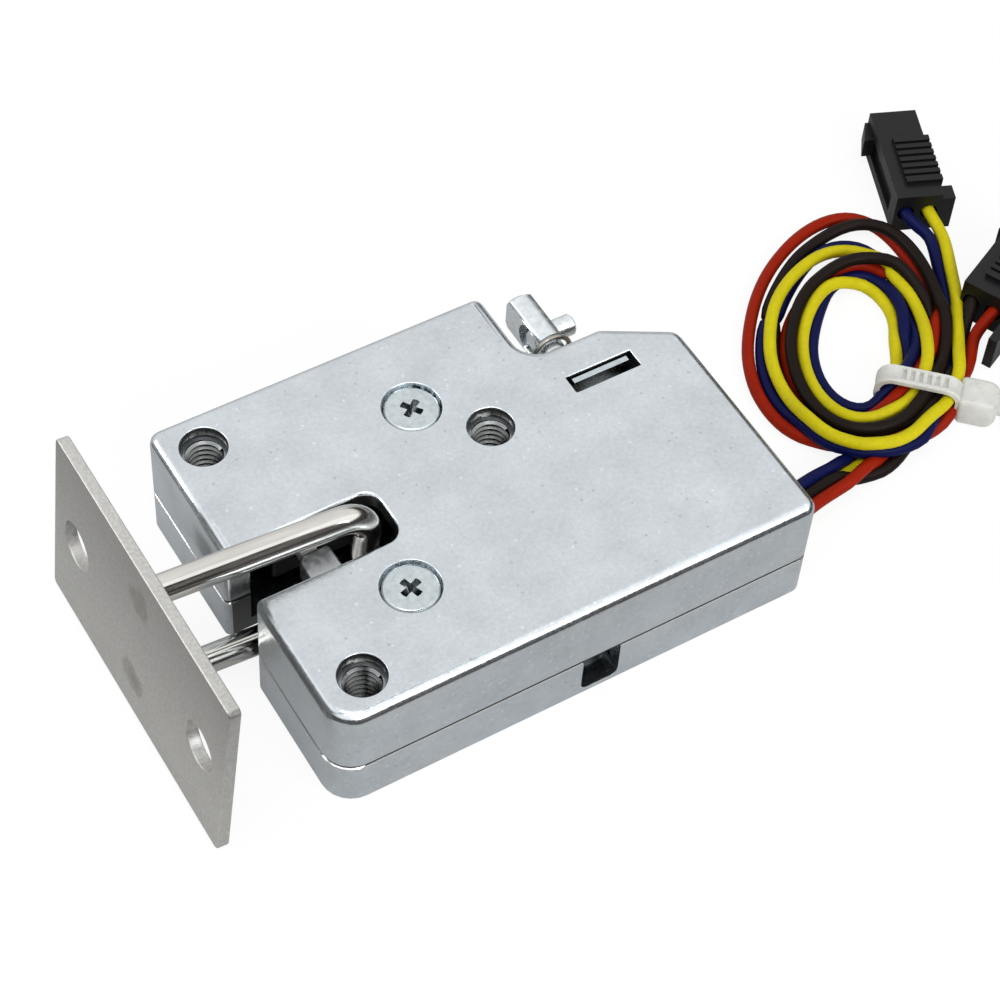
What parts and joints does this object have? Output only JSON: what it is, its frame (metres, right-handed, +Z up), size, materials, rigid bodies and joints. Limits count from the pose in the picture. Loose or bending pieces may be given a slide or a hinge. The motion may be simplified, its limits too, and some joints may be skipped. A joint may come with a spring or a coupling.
{
  "type": "solenoid lock",
  "caption": "Small zinc solenoid cabinet lock with a hook slot, a U-shaped strike on a plate, a spring plunger and coloured leads.",
  "frame": {"origin": "centre of the housing's flat underside, under the middle of its length and width", "axes": "+X from the strike towards the wires, along the housing's length; +Y towards the side where the plunger comes out; +Z up through the cover"},
  "size_m": [0.1089, 0.0453, 0.0207],
  "materials": {
    "zinc_casting": "satin die-cast zinc",
    "zinc_plated_steel": "bright zinc plating",
    "polished_steel": "polished",
    "rolled_steel": "plain rolled sheet",
    "spring_steel": "drawn wire",
    "copper_winding": "enamelled copper wire",
    "white_nylon": "natural nylon",
    "black_plastic": "moulded",
    "blue_insulation": "soft vinyl",
    "black_insulation": "soft vinyl",
    "red_insulation": "soft vinyl",
    "yellow_insulation": "soft vinyl"
  },
  "bodies": {
    "housing": {"upper_shell": "zinc_casting", "lower_shell": "zinc_casting", "hook_screw": "zinc_plated_steel", "cover_screw": "zinc_plated_steel", "hook_sleeve": "zinc_plated_steel", "pawl_pin": "zinc_plated_steel", "hook_spring": "spring_steel", "pawl_spring": "spring_steel", "solenoid_frame": "zinc_plated_steel", "bobbin": "white_nylon", "winding": "copper_winding", "plunger_spring": "spring_steel", "switch_body": "black_plastic", "lead_blue": "blue_insulation", "lead_black": "black_insulation", "lead_red": "red_insulation", "lead_yellow": "yellow_insulation", "wire_coil": "black_insulation", "tail_blue": "blue_insulation", "tail_yellow": "yellow_insulation", "tail_black": "black_insulation", "tail_red": "red_insulation", "cable_tie": "white_nylon", "plug_housing": "black_plastic", "socket_housing": "black_plastic"},
    "strike": {"strike_shackle": "polished_steel", "strike_plate": "rolled_steel"},
    "hook": {"hook": "zinc_plated_steel"},
    "pawl": {"pawl": "zinc_plated_steel"},
    "plunger": {"plunger": "zinc_plated_steel", "cross_pin": "zinc_plated_steel"},
    "switch_button": {"switch_button": "white_nylon"}
  },
  "joints": [
    {"name": "strike_slide", "type": "slide", "parent": "housing", "child": "strike", "axis": [-1, 0, 0], "range_m": [0, 0.0055]},
    {"name": "hook_turn", "type": "hinge", "parent": "housing", "child": "hook", "pos_m": [-0.01225, -0.00835, 0.0069], "axis": [0, 0, 1], "range_deg": [0, 36]},
    {"name": "pawl_turn", "type": "hinge", "parent": "housing", "child": "pawl", "pos_m": [0.0022, -0.0121, 0.0069], "axis": [0, 0, 1], "range_deg": [-12.4, 0]},
    {"name": "plunger_slide", "type": "slide", "parent": "housing", "child": "plunger", "axis": [0, -1, 0], "range_m": [0, 0.0027], "deforming": ["plunger_spring"]},
    {"name": "button_slide", "type": "slide", "parent": "housing", "child": "switch_button", "axis": [0, -1, 0], "range_m": [0, 0.0004]}
  ],
  "couplings": [
    {"joint": "hook_turn", "follows": "strike_slide", "rad_per_m": 114.24},
    {"joint": "pawl_turn", "follows": "strike_slide", "rad_per_m": -39.349},
    {"joint": "plunger_slide", "follows": "strike_slide", "ratio": 0.49091},
    {"joint": "button_slide", "follows": "strike_slide", "ratio": 0.072727}
  ]
}
